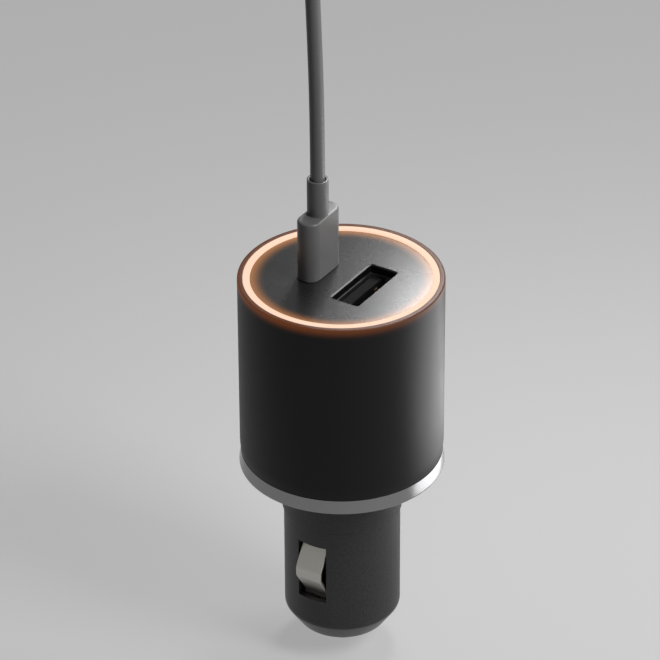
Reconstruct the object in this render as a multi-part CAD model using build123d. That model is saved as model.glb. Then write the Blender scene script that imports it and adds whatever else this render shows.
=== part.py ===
"""Car USB charger plug: a round two-port head with a light ring, on a stem for the car's 12 V socket.

Millimetres, +Z up. The origin is on the axis, in the plane where the foot of the head meets the
socket's rim. The ports' long sides run along Y, with the USB-A port at +X and the USB-C port at -X.
"""
from build123d import *
import math
import os

# Clearances
SLIP = 0.05                # radial slip between round pieces that are pushed together
RUN = 0.06                 # radial running clearance of the centre contact in the nose
STOP_GAP = 0.05            # air left at a stop, so that pieces that move never bind

# Head sleeve and collar
HEAD_D = 35.0              # sleeve outside
SLEEVE_H = 33.9            # sleeve from the collar to its rim
SLEEVE_WALL = 1.2
SLEEVE_FOOT_IN = 0.22      # the sleeve's foot curves inwards by this
SLEEVE_FOOT_H = 2.4        # over this height
SLEEVE_EDGE = 0.2          # chamfer of the rim's outer edge
RIM_W = 0.95               # rim left round the light ring
COLLAR_PROUD = 0.2         # the collar stands out past the sleeve
COLLAR_H = 2.5
COLLAR_FLARE = 0.35        # the collar widens downwards by this
COLLAR_EDGE = 0.3          # chamfer of the collar's foot
SPIGOT_H = 2.0             # collar's spigot inside the sleeve
SPIGOT_WALL = 0.6

# Light ring and face
RING_W = 1.15              # width of ring that shows
RING_T = 1.4               # thickness of its flange
RING_SKIRT_H = 1.4         # light guide below the flange
RING_SKIRT_W = 0.55
FACE_RECESS = 0.3          # the face lies below the rim
FACE_T = 1.6
FACE_SKIRT_W = 1.0
PORT_EDGE = 0.2            # chamfer round the port openings
LED_COUNT = 8
LED_H = 0.6
LED_LENGTH = 2.0
LED_W = 0.6
LED_AIR = 0.4              # between the LEDs and the light guide
LED_BOARD_T = 0.8
LED_BOARD_W = 2.2          # radial width of the ring board

# Inner frame and boards
FRAME_WALL = 1.2
FRAME_SHELF = 1.2          # shelf that the port board rests on
BOARD_T = 1.2
HEAD_BOARD_AIR = 2.0       # main board's edge inside the frame
STEM_BOARD_AIR = 1.3       # main board's edge inside the stem, above the ground strap
TAIL_BOARD_AIR = 3.4       # main board's edge inside the arms, below the strap
BOARD_STEP_Z = 4.0         # where the main board narrows to enter the stem

# Ports
PORT_PITCH = 9.1           # between the ports' centres
PORT_DEPTH = 14.0          # sockets, from the port board to the underside of the face
PORT_MARGIN = 0.1          # the face's openings are larger than the sockets by this
SHELL_T = 0.3
A_MOUTH_W = 12.5           # USB-A mouth
A_MOUTH_T = 5.12
A_CORNER_R = 0.3
A_TONGUE_W = 11.1
A_TONGUE_T = 1.84
A_TONGUE_GAP = 0.68        # behind the tongue
A_TONGUE_DOWN = 1.7        # end of the tongue below the face
A_BASE_H = 4.0
A_CONTACT_W = 1.1
A_CONTACT_T = 0.22
A_CONTACT_Y = (-3.5, -1.0, 1.0, 3.5)
A_CONTACT_SHORT = 0.8      # outer contacts stop below the tongue's end
A_DATA_SHORT = 1.8         # data contacts stop lower
A_FINGER_Y = 3.1           # spring fingers, either side of the shell's middle
A_FINGER_W = 1.8
A_FINGER_H = 5.0
A_FINGER_IN = 0.4          # how far a finger leans into the mouth
A_FINGER_TOP = 2.6         # end of a finger's window below the shell's mouth
A_WINDOW_AIR = 0.35        # round a finger in its window
C_MOUTH_W = 8.94           # USB-C mouth
C_MOUTH_T = 3.26
C_TONGUE_W = 6.69
C_TONGUE_T = 0.7
C_TONGUE_H = 4.45
C_PAD_PITCH = 0.5
C_PAD_COUNT = 12
C_PAD_W = 0.25
C_PAD_T = 0.06
C_PAD_H = 3.2

# Stem: barrel, nose and contacts
BARREL_D = 20.8            # upper land, which the socket's mouth guides
LAND_H = 9.0
BARREL_STEP = 0.3          # the barrel is slimmer below the land
BARREL_WALL = 1.0          # below the land
BARREL_H = 28.5            # from the seat to the nose cap
FLANGE_T = 2.4
SLOT_AIR = 0.3             # either side of an arm in its slot
SLOT_DOWN = 1.0            # top of the slot below the arm's root
SLOT_UP = 0.9              # foot of the slot above the arm's foot
NOSE_H = 4.6
NOSE_TIP_D = 15.0
NOSE_SPIGOT_H = 2.5
NOSE_SPIGOT_WALL = 1.4
NOSE_LIP_T = 1.5           # lip that stops the centre contact
NOSE_EDGE_R = 0.8
GUIDE_D = 9.4              # bore in the nose for the contact's flange
PIN_D = 6.0                # centre contact
PIN_PROUD = 3.9            # out of the nose at rest
PIN_FLANGE_D = 8.8
PIN_FLANGE_T = 1.0
PIN_DOME_R = 1.8
PEG_D = 4.2                # pegs that centre the spring
PEG_H = 1.6
SPRING_WIRE_D = 0.6
WIRE_SIDES = 8             # the wire's section is simplified
SPRING_D = 5.5             # mean diameter
SPRING_TURNS = 5
SPRING_SPACE = 9.5         # between the contact's flange and the terminal
TERMINAL_D = 8.8
TERMINAL_T = 0.6
TAB_W = 3.0
TAB_H = 3.0
TAB_T = 0.4

# Side contacts, bent from strip
ARM_W = 5.0
ARM_T = 0.5
ARM_AIR = 0.3              # between the strip's root and the barrel's bore
ARM_PROUD = 1.0            # crest of the arm outside the barrel
ARM_FOOT_IN = 0.2          # the foot is nearer the axis than the root by this
ARM_DROP = 2.6             # root below the barrel's land
ARM_ROOT_H = 1.4           # straight strip at the root
ARM_CREST_H = 1.6          # straight strip at the crest
ARM_FOOT_H = 1.5           # straight strip at the foot
ARM_NOSE_AIR = 1.1         # between the foot and the nose cap's spigot
ARM_BEND_R = 1.2
STRAP_T = 0.4
STRAP_W = 4.6
STRAP_LIP = 0.5            # turned-down ends above the arms
STRAP_AIR = 0.2            # flex line between strap and arm

# Components on the boards
INDUCTOR_SIDE = 10.0
INDUCTOR_H = 4.4
INDUCTOR_EDGE = 1.2
IN_CAP_D = 8.0
IN_CAP_H = 9.0
OUT_CAP_D = 6.3
OUT_CAP_H = 5.8
OUT_CAP_TURN = 128.0       # place round the axis, from +X
CAP_EDGE = 0.4
CHIP_SIDE = 6.0
PORT_CHIP_SIDE = 4.0
PORT_CHIP_TURN = -40.0
PART_AIR = 1.2             # between the parts under the port board and the shelf
CHIP_H = 0.9
SMALL_CAP = (1.0, 1.25, 2.0)
SMALL_CAP_ROWS = 3
SMALL_CAP_PITCH = 3.2

# USB-C lead
PLUG_SHELL_W = 8.34
PLUG_SHELL_T = 2.56
PLUG_SHELL_L = 6.65
PLUG_INSERT_SLIP = 0.05
PLUG_SLOT_W = 6.9
PLUG_SLOT_T = 0.95
PLUG_SLOT_H = 5.2
PLUG_SEAT = 0.05           # overmould above the face
OVERMOULD_W = 9.3
OVERMOULD_T = 4.2
OVERMOULD_H = 11.1
OVERMOULD_EDGE_R = 0.4
RELIEF_D = 3.65
RELIEF_H = 6.55
RELIEF_EDGE = 0.12
CORD_D = 2.5
CORD_AIR = 0.15            # round the cord in the mouth of the strain relief
CORD_IN = 1.2              # the cord goes into the relief by this
# Route of the cord from inside the strain relief: up, and leaning very slightly
CORD_ROUTE = [
    (0.0, 0.0, 0.0),
    (0.0, 0.0, 10.7),
    (-0.2, -0.12, 24.7),
    (-0.66, -0.44, 40.8),
]
ARC_SHARE = 0.45           # share of the shorter run that an arc takes up

# Radii of the head, from the outside in
head_r = HEAD_D / 2
bore_r = head_r - SLEEVE_WALL
collar_r = head_r + COLLAR_PROUD
ring_out_r = head_r - RIM_W
ring_in_r = ring_out_r - RING_W
face_r = ring_in_r - SLIP
spigot_out_r = bore_r - SLIP
spigot_in_r = spigot_out_r - SPIGOT_WALL
flange_r = spigot_in_r - SLIP
frame_r = bore_r - 2 * SLIP
frame_in_r = frame_r - FRAME_WALL
shelf_r = frame_in_r - FRAME_SHELF
parts_r = shelf_r - PART_AIR
led_r = (face_r + bore_r) / 2

# Heights in the head
rim_z = COLLAR_H + SLEEVE_H
ring_ledge_z = rim_z - RING_T
led_board_z = ring_ledge_z - RING_SKIRT_H - LED_AIR - LED_H
frame_top_z = led_board_z - LED_BOARD_T
face_z = rim_z - FACE_RECESS
socket_top_z = face_z - FACE_T
port_board_z = socket_top_z - PORT_DEPTH
shelf_z = port_board_z - BOARD_T
port_a_x = PORT_PITCH / 2
port_c_x = -PORT_PITCH / 2
plug_z = face_z + PLUG_SEAT
relief_top = OVERMOULD_H + RELIEF_H
c_base_z = plug_z - PLUG_SHELL_L - PLUG_SEAT

# Radii and heights in the stem
land_r = BARREL_D / 2
barrel_r = land_r - BARREL_STEP
barrel_in_r = barrel_r - BARREL_WALL
nose_tip_z = -BARREL_H - NOSE_H
lip_z = nose_tip_z + NOSE_LIP_T
pin_flange_z = lip_z + STOP_GAP
pin_top_z = pin_flange_z + PIN_FLANGE_T
terminal_z = pin_top_z + SPRING_SPACE
board_foot_z = terminal_z + TERMINAL_T

# Radii and heights of the side contacts, the strap and the main board
arm_root_r = math.sqrt(barrel_in_r ** 2 - (ARM_W / 2) ** 2) - ARM_AIR - ARM_T / 2
arm_crest_r = barrel_r + ARM_PROUD - ARM_T / 2
arm_foot_r = arm_root_r - ARM_FOOT_IN
arm_root_z = -LAND_H - ARM_DROP
arm_foot_z = -BARREL_H + NOSE_SPIGOT_H + ARM_NOSE_AIR
arm_bend_z = arm_root_z - ARM_ROOT_H
arm_foot_top_z = arm_foot_z + ARM_FOOT_H
arm_crest_z = (arm_bend_z + arm_foot_top_z) / 2
strap_z = arm_root_z + STRAP_AIR + STRAP_LIP + STRAP_T
head_board = shelf_r - HEAD_BOARD_AIR
stem_board = barrel_in_r - STEM_BOARD_AIR
tail_board = arm_root_r - TAIL_BOARD_AIR


def turned(*outline):
    """Solid of revolution about Z from a closed outline of (radius, height) points."""
    return revolve(make_face(Plane.XZ * Polyline(*outline, close=True)), Axis.Z)


def tube(outer_r, inner_r, low, high):
    """Round tube about Z between two heights."""
    return Pos(0, 0, low) * extrude(Circle(outer_r) - Circle(inner_r), high - low)


def block(x_range, y_range, z_range):
    """Box between two corners, given as three ranges."""
    sizes = [high - low for low, high in (x_range, y_range, z_range)]
    middle = [(high + low) / 2 for low, high in (x_range, y_range, z_range)]
    return Pos(*middle) * Box(*sizes)


def stadium(length, thickness):
    """Full-round slot outline, long along Y."""
    return Rot(0, 0, 90) * SlotOverall(length, thickness)


def edges_at(solid, height):
    """Edges that lie level at a height."""
    return solid.edges().filter_by_position(Axis.Z, height, height)


def head_sleeve():
    """Tube of the head, its foot curved in, with a ledge for the light ring inside its rim."""
    wall_foot = (head_r, COLLAR_H + SLEEVE_FOOT_H)
    foot = (head_r - SLEEVE_FOOT_IN, COLLAR_H)
    straight = Polyline(
        wall_foot,
        (head_r, rim_z - SLEEVE_EDGE),
        (head_r - SLEEVE_EDGE, rim_z),
        (ring_out_r + SLIP, rim_z),
        (ring_out_r + SLIP, ring_ledge_z),
        (bore_r, ring_ledge_z),
        (bore_r, COLLAR_H),
        foot,
    )
    curve = TangentArc(wall_foot, foot, tangent=(0, -1))
    return revolve(make_face(Plane.XZ * (straight + curve)), Axis.Z)


def base_collar():
    """Metal ring that flares at the foot of the head, with a spigot that centres the sleeve."""
    return turned(
        (spigot_in_r, 0),
        (collar_r - COLLAR_EDGE, 0),
        (collar_r, COLLAR_EDGE),
        (collar_r - COLLAR_FLARE, COLLAR_H),
        (spigot_out_r, COLLAR_H),
        (spigot_out_r, COLLAR_H + SPIGOT_H),
        (spigot_in_r, COLLAR_H + SPIGOT_H),
    )


def light_ring():
    """Frosted ring with a light guide below it."""
    guide_in_r = led_r - RING_SKIRT_W / 2
    guide_out_r = led_r + RING_SKIRT_W / 2
    guide_z = ring_ledge_z - RING_SKIRT_H
    return turned(
        (ring_in_r, rim_z),
        (ring_in_r, ring_ledge_z),
        (guide_in_r, ring_ledge_z),
        (guide_in_r, guide_z),
        (guide_out_r, guide_z),
        (guide_out_r, ring_ledge_z),
        (ring_out_r, ring_ledge_z),
        (ring_out_r, rim_z),
    )


def a_opening(margin):
    """Outline of the USB-A mouth with a margin all round."""
    return RectangleRounded(A_MOUTH_T + 2 * margin, A_MOUTH_W + 2 * margin, A_CORNER_R + margin)


def c_opening(margin):
    """Outline of the USB-C mouth with a margin all round."""
    return stadium(C_MOUTH_W + 2 * margin, C_MOUTH_T + 2 * margin)


def face_plate():
    """Disc with a skirt that stands on the LED board, and the two port openings."""
    skirt_in_r = face_r - FACE_SKIRT_W
    plate = turned(
        (0, face_z),
        (0, socket_top_z),
        (skirt_in_r, socket_top_z),
        (skirt_in_r, led_board_z),
        (face_r, led_board_z),
        (face_r, face_z),
    )
    for centre, outline in ((port_a_x, a_opening), (port_c_x, c_opening)):
        through = extrude(outline(PORT_MARGIN), FACE_T)
        mouth = Pos(0, 0, FACE_T) * extrude(outline(PORT_MARGIN + PORT_EDGE), -PORT_EDGE, taper=45)
        plate -= Pos(centre, 0, socket_top_z) * (through + mouth)
    return plate


def led_board():
    """Ring board under the light guide."""
    return tube(frame_r, frame_r - LED_BOARD_W, frame_top_z, led_board_z)


def leds():
    """LED packages spaced evenly under the light guide."""
    package = Pos(led_r, 0, led_board_z + LED_H / 2) * Box(LED_W, LED_LENGTH, LED_H)
    return [Rot(0, 0, 360 * i / LED_COUNT) * package for i in range(LED_COUNT)]


def inner_frame():
    """Moulded liner on the barrel's flange, with a shelf for the port board."""
    step_z = COLLAR_H + SPIGOT_H + SLIP
    return turned(
        (shelf_r, FLANGE_T),
        (flange_r, FLANGE_T),
        (flange_r, step_z),
        (frame_r, step_z),
        (frame_r, frame_top_z),
        (frame_in_r, frame_top_z),
        (frame_in_r, shelf_z),
        (shelf_r, shelf_z),
    )


def port_board():
    """Round board that both sockets stand on."""
    return Pos(0, 0, shelf_z) * extrude(Circle(frame_in_r - SLIP), BOARD_T)


def main_board():
    """Upright converter board, stepped to fit the head, the stem and the ground strap."""
    edge = [
        (head_board, shelf_z), (head_board, BOARD_STEP_Z), (stem_board, BOARD_STEP_Z),
        (stem_board, strap_z), (tail_board, strap_z), (tail_board, board_foot_z),
    ]
    outline = Polyline(*edge, *[(-y, z) for y, z in reversed(edge)], close=True)
    return extrude(make_face(Plane.YZ * outline), BOARD_T / 2, both=True)


def usb_a_shell():
    """Folded steel shell of the USB-A socket, with two spring fingers in each long wall."""
    shell = extrude(a_opening(SHELL_T) - a_opening(0), PORT_DEPTH)
    top = PORT_DEPTH - A_FINGER_TOP
    foot = top - A_FINGER_H
    wall_in = A_MOUTH_T / 2
    wall_out = wall_in + SHELL_T
    for side in (-1, 1):
        for y in (-A_FINGER_Y, A_FINGER_Y):
            half = A_FINGER_W / 2
            window = block((wall_in - SHELL_T, wall_out + SHELL_T),
                           (y - half - A_WINDOW_AIR, y + half + A_WINDOW_AIR),
                           (foot, top))
            leaf = Polyline((wall_in, foot), (wall_out, foot),
                            (wall_out - A_FINGER_IN, top - A_WINDOW_AIR),
                            (wall_in - A_FINGER_IN, top - A_WINDOW_AIR), close=True)
            finger = Pos(0, y, 0) * extrude(make_face(Plane.XZ * leaf), half, both=True)
            turn = Rot(0, 0, 0 if side > 0 else 180)
            shell = shell - turn * window + turn * finger
    return Pos(port_a_x, 0, port_board_z) * shell


a_tongue_x = port_a_x - A_MOUTH_T / 2 + A_TONGUE_GAP
a_tongue_top_z = face_z - A_TONGUE_DOWN
a_base_z = port_board_z + A_BASE_H


def usb_a_tongue():
    """Insulator of the USB-A socket: a block in the shell's foot with the tongue standing on it."""
    base = extrude(a_opening(-SLIP), A_BASE_H)
    tongue = block((a_tongue_x, a_tongue_x + A_TONGUE_T),
                   (-A_TONGUE_W / 2, A_TONGUE_W / 2), (a_base_z, a_tongue_top_z))
    return Pos(port_a_x, 0, port_board_z) * base + tongue


def usb_a_contacts():
    """Four contact strips on the open side of the tongue, the data pair shorter."""
    strips = []
    front = a_tongue_x + A_TONGUE_T
    for y in A_CONTACT_Y:
        short = A_CONTACT_SHORT if abs(y) > A_CONTACT_Y[2] else A_DATA_SHORT
        strips.append(block((front, front + A_CONTACT_T),
                            (y - A_CONTACT_W / 2, y + A_CONTACT_W / 2),
                            (a_base_z, a_tongue_top_z - short)))
    return strips


def usb_c_shell():
    """Drawn shell of the USB-C socket."""
    shell = extrude(c_opening(SHELL_T) - c_opening(0), PORT_DEPTH)
    return Pos(port_c_x, 0, port_board_z) * shell


def usb_c_tongue():
    """Insulator of the USB-C socket: a tall base with the thin tongue on it."""
    base = Pos(0, 0, port_board_z) * extrude(c_opening(-SLIP), c_base_z - port_board_z)
    tongue = Pos(0, 0, c_base_z) * extrude(Rectangle(C_TONGUE_T, C_TONGUE_W), C_TONGUE_H)
    return Pos(port_c_x, 0, 0) * (base + tongue)


def usb_c_contacts():
    """Rows of contact pads on both sides of the tongue."""
    pads = []
    first_y = -C_PAD_PITCH * (C_PAD_COUNT - 1) / 2
    for side in (-1, 1):
        x = port_c_x + side * (C_TONGUE_T + C_PAD_T) / 2
        for i in range(C_PAD_COUNT):
            y = first_y + i * C_PAD_PITCH
            pads.append(Pos(x, y, c_base_z + C_PAD_H / 2) * Box(C_PAD_T, C_PAD_W, C_PAD_H))
    return pads


def barrel():
    """Stem and flange in one moulding, with a slot on each side for the contact arms."""
    body = turned(
        (barrel_in_r, FLANGE_T),
        (flange_r, FLANGE_T),
        (flange_r, 0),
        (land_r, 0),
        (land_r, -LAND_H),
        (barrel_r, -LAND_H - BARREL_STEP),
        (barrel_r, -BARREL_H),
        (barrel_in_r, -BARREL_H),
    )
    half = ARM_W / 2 + SLOT_AIR
    return body - block((-half, half), (-land_r, land_r),
                        (arm_foot_z + SLOT_UP, arm_root_z - SLOT_DOWN))


def nose_cap():
    """Cap that plugs the foot of the barrel and guides the centre contact."""
    spigot_r = barrel_in_r - SLIP
    hollow_r = spigot_r - NOSE_SPIGOT_WALL
    spigot_z = NOSE_SPIGOT_H - BARREL_H
    cap = turned(
        (PIN_D / 2 + RUN, nose_tip_z),
        (NOSE_TIP_D / 2, nose_tip_z),
        (barrel_r, -BARREL_H - NOSE_EDGE_R),
        (barrel_r, -BARREL_H),
        (spigot_r, -BARREL_H),
        (spigot_r, spigot_z),
        (hollow_r, spigot_z),
        (hollow_r, -BARREL_H),
        (GUIDE_D / 2, -BARREL_H),
        (GUIDE_D / 2, lip_z),
        (PIN_D / 2 + RUN, lip_z),
    )
    rim = edges_at(cap, nose_tip_z).sort_by(SortBy.LENGTH)[-1]
    return fillet(rim, NOSE_EDGE_R)


def centre_contact():
    """Positive pin: domed tip, stop flange and a peg for the spring."""
    tip_z = nose_tip_z - PIN_PROUD
    pin = turned(
        (0, tip_z),
        (PIN_D / 2, tip_z),
        (PIN_D / 2, pin_flange_z),
        (PIN_FLANGE_D / 2, pin_flange_z),
        (PIN_FLANGE_D / 2, pin_top_z),
        (PEG_D / 2, pin_top_z),
        (PEG_D / 2, pin_top_z + PEG_H),
        (0, pin_top_z + PEG_H),
    )
    return fillet(edges_at(pin, tip_z), PIN_DOME_R)


def contact_spring():
    """Coil spring between the centre contact and the terminal."""
    wire_r = SPRING_WIRE_D / 2
    low = pin_top_z + wire_r + STOP_GAP
    high = terminal_z - wire_r - STOP_GAP
    coil = Pos(0, 0, low) * Helix((high - low) / SPRING_TURNS, high - low, SPRING_D / 2)
    return sweep(Plane(coil @ 0, z_dir=coil % 0) * RegularPolygon(wire_r, WIRE_SIDES), path=coil)


def spring_terminal():
    """Plate above the spring, with a peg below and two tabs soldered to the board."""
    plate = Pos(0, 0, terminal_z) * extrude(Circle(TERMINAL_D / 2), TERMINAL_T)
    peg = Pos(0, 0, terminal_z - PEG_H) * extrude(Circle(PEG_D / 2), PEG_H)
    terminal = plate + peg
    for side in (-1, 1):
        near, far = sorted((side * BOARD_T / 2, side * (BOARD_T / 2 + TAB_T)))
        terminal += block((near, far), (-TAB_W / 2, TAB_W / 2),
                          (board_foot_z, board_foot_z + TAB_H))
    return terminal


def side_contact(side):
    """Sprung earth arm, bent from strip, on the side of the stem that is given by its sign."""
    middle = FilletPolyline(
        (arm_root_r, arm_root_z), (arm_root_r, arm_bend_z),
        (arm_crest_r, arm_crest_z + ARM_CREST_H / 2), (arm_crest_r, arm_crest_z - ARM_CREST_H / 2),
        (arm_foot_r, arm_foot_top_z), (arm_foot_r, arm_foot_z),
        radius=ARM_BEND_R,
    )
    strip = trace(middle, ARM_T)
    arm = extrude(Plane.YZ * strip, ARM_W / 2, both=True)
    return arm if side > 0 else Rot(0, 0, 180) * arm


def ground_strap():
    """Fixed bridge of the two arms, slotted over the main board, with turned-down ends."""
    end = arm_root_r + ARM_T / 2
    strap = block((-STRAP_W / 2, STRAP_W / 2), (-end, end), (strap_z - STRAP_T, strap_z))
    for side in (-1, 1):
        near, far = sorted((side * (end - ARM_T), side * end))
        strap += block((-STRAP_W / 2, STRAP_W / 2), (near, far),
                       (strap_z - STRAP_T - STRAP_LIP, strap_z))
    slot = block((-BOARD_T / 2, BOARD_T / 2), (-tail_board, tail_board),
                 (strap_z - STRAP_T, strap_z))
    return strap - slot


def power_inductor():
    """Moulded inductor on the main board, inside the head."""
    half = INDUCTOR_SIDE / 2
    body = block((BOARD_T / 2, BOARD_T / 2 + INDUCTOR_H), (-half, half), (-half, half))
    body = chamfer(body.edges().filter_by(Axis.X), INDUCTOR_EDGE)
    return Pos(0, 0, head_parts_z) * body


def can(diameter, height):
    """Upright capacitor can with its end's edge taken off."""
    body = extrude(Circle(diameter / 2), height)
    return chamfer(edges_at(body, height), CAP_EDGE)


def input_capacitor():
    """Can on the other face of the main board, lying across the foot of the head."""
    z = BOARD_STEP_Z + IN_CAP_D / 2
    return Pos(-BOARD_T / 2, 0, z) * Rot(0, -90, 0) * can(IN_CAP_D, IN_CAP_H)


def output_capacitor():
    """Can that hangs from the port board."""
    at = Rot(0, 0, OUT_CAP_TURN) * Pos(parts_r - OUT_CAP_D / 2, 0, shelf_z)
    return at * Rot(180, 0, 0) * can(OUT_CAP_D, OUT_CAP_H)


def controller_chip():
    """Converter chip on the main board, in the upper stem."""
    half = CHIP_SIDE / 2
    return block((-BOARD_T / 2 - CHIP_H, -BOARD_T / 2), (-half, half),
                 (stem_parts_z - half, stem_parts_z + half))


def port_chip():
    """Port controller under the port board."""
    half = PORT_CHIP_SIDE / 2
    reach = math.sqrt(parts_r ** 2 - half ** 2) - half
    chip = block((reach - half, reach + half), (-half, half), (shelf_z - CHIP_H, shelf_z))
    return Rot(0, 0, PORT_CHIP_TURN) * chip


def chip_capacitors():
    """Small capacitors in two columns on the main board, opposite the converter chip."""
    height, width, length = SMALL_CAP
    column = stem_board - length
    bodies = []
    for y in (-column, column):
        for row in range(SMALL_CAP_ROWS):
            z = stem_parts_z + (row - (SMALL_CAP_ROWS - 1) / 2) * SMALL_CAP_PITCH
            bodies.append(Pos(BOARD_T / 2 + height / 2, y, z) * Box(height, length, width))
    return bodies


def plug_shell():
    """Metal nose of a USB-C plug, hanging below its overmould."""
    outer = stadium(PLUG_SHELL_W, PLUG_SHELL_T)
    inner = stadium(PLUG_SHELL_W - 2 * SHELL_T, PLUG_SHELL_T - 2 * SHELL_T)
    return extrude(outer - inner, -PLUG_SHELL_L)


def plug_insert():
    """Moulded core of the plug's nose, slotted for the socket's tongue."""
    less = 2 * (SHELL_T + PLUG_INSERT_SLIP)
    core = extrude(stadium(PLUG_SHELL_W - less, PLUG_SHELL_T - less), -PLUG_SHELL_L)
    slot = Pos(0, 0, -PLUG_SHELL_L) * extrude(Rectangle(PLUG_SLOT_T, PLUG_SLOT_W), PLUG_SLOT_H)
    return core - slot


def overmould():
    """Grip of the plug, a full-round bar with softened ends."""
    grip = extrude(stadium(OVERMOULD_W, OVERMOULD_T), OVERMOULD_H)
    return fillet(edges_at(grip, 0) + edges_at(grip, OVERMOULD_H), OVERMOULD_EDGE_R)


def relief():
    """Strain relief on top of the overmould, with a mouth that the cord goes into."""
    outer_r = RELIEF_D / 2
    mouth_r = CORD_D / 2 + CORD_AIR
    return turned(
        (0, OVERMOULD_H),
        (outer_r, OVERMOULD_H),
        (outer_r, relief_top - RELIEF_EDGE),
        (outer_r - RELIEF_EDGE, relief_top),
        (mouth_r, relief_top),
        (mouth_r, relief_top - CORD_IN),
        (0, relief_top - CORD_IN),
    )


def cord_radii(points):
    """Radius of the arc at each inner point, as large as the shorter of its two runs allows."""
    radii = []
    for before, at, after in zip(points, points[1:], points[2:]):
        turn = math.radians((at - before).get_angle(after - at))
        shorter = min((at - before).length, (after - at).length)
        radii.append(ARC_SHARE * shorter / math.tan(turn / 2))
    return radii


head_parts_z = (shelf_z + BOARD_STEP_Z) / 2
stem_parts_z = strap_z / 2
near_plug = Pos(port_c_x, 0, plug_z)
cord_start = Vector(port_c_x, 0, plug_z + relief_top - CORD_IN)
cord_points = [cord_start + Vector(*at) for at in CORD_ROUTE]
cord_radius_list = cord_radii(cord_points)
cord_path = FilletPolyline(*cord_points, radius=cord_radius_list)
cord_end = Plane(cord_points[-1], x_dir=(1, 0, 0), z_dir=cord_points[-1] - cord_points[-2])
far_plug = cord_end.location * Pos(0, 0, relief_top - CORD_IN) * Rot(180, 0, 0)


def lead_cable():
    """Cord between the two strain reliefs."""
    section = Plane(cord_points[0], z_dir=cord_points[1] - cord_points[0]) * Circle(CORD_D / 2)
    return sweep(section, path=cord_path)


NODES = {
    "head_sleeve": head_sleeve(),
    "base_collar": base_collar(),
    "light_ring": light_ring(),
    "face_plate": face_plate(),
    "led_board": led_board(),
    "leds": leds(),
    "inner_frame": inner_frame(),
    "port_board": port_board(),
    "main_board": main_board(),
    "usb_a_shell": usb_a_shell(),
    "usb_a_tongue": usb_a_tongue(),
    "usb_a_contacts": usb_a_contacts(),
    "usb_c_shell": usb_c_shell(),
    "usb_c_tongue": usb_c_tongue(),
    "usb_c_contacts": usb_c_contacts(),
    "barrel": barrel(),
    "nose_cap": nose_cap(),
    "centre_contact": centre_contact(),
    "contact_spring": contact_spring(),
    "spring_terminal": spring_terminal(),
    "side_contact_front": side_contact(-1),
    "side_contact_rear": side_contact(1),
    "ground_strap": ground_strap(),
    "power_inductor": power_inductor(),
    "input_capacitor": input_capacitor(),
    "output_capacitor": output_capacitor(),
    "controller_chip": controller_chip(),
    "port_chip": port_chip(),
    "chip_capacitors": chip_capacitors(),
    "plug_shell": near_plug * plug_shell(),
    "plug_insert": near_plug * plug_insert(),
    "plug_overmould": near_plug * overmould(),
    "plug_relief": near_plug * relief(),
    "lead_cable": lead_cable(),
    "far_relief": far_plug * relief(),
    "far_overmould": far_plug * overmould(),
    "far_insert": far_plug * plug_insert(),
    "far_shell": far_plug * plug_shell(),
}

os.makedirs("parts", exist_ok=True)
for name, shape in NODES.items():
    export_step(Compound(children=shape) if isinstance(shape, list) else shape, f"parts/{name}.step")
print("cord arc radii", [round(radius) for radius in cord_radius_list])
print("cord length", round(cord_path.length, 2))
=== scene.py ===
"""Looks of the car USB charger plug: smooth surfaces, finishes, the lead's cord, light and camera.

Metres, +Z up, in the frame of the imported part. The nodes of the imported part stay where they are. Most
pieces that show are drawn again as finer surfaces of the same sizes, and every other node gets its
finish here.
"""
import logging
import math
from dataclasses import dataclass, field, replace
from enum import Enum
from typing import Any, Sequence

import bmesh
import bpy
import numpy as np
from mathutils import Matrix, Vector


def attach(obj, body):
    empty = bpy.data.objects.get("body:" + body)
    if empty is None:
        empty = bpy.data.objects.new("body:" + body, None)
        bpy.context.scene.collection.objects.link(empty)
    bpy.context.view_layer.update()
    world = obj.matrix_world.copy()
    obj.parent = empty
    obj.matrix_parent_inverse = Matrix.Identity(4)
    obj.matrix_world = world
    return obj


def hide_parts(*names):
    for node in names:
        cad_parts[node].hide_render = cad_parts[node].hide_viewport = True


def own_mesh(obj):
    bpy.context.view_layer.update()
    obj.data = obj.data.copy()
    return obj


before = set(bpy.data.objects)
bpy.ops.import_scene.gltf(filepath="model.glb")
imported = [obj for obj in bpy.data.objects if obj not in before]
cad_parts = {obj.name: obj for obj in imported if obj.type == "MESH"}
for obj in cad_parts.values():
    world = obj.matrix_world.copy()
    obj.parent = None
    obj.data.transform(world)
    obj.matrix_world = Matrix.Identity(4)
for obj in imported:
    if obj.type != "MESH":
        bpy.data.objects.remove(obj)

LOG = logging.getLogger("charger_plug")
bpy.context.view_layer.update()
MM = 0.001
HEAD_TOP = 36.4 * MM
WEAR_SIZE = 2.5 * MM
MERGE_GAP = 1e-7
SHARP_EDGE = math.radians(40)
Colour = tuple[float, float, float]


class Body(Enum):
    """The bodies that pieces ride on."""

    CHARGER = "charger"
    PIN = "centre_pin"
    FRONT_ARM = "front_arm"
    REAR_ARM = "rear_arm"


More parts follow.
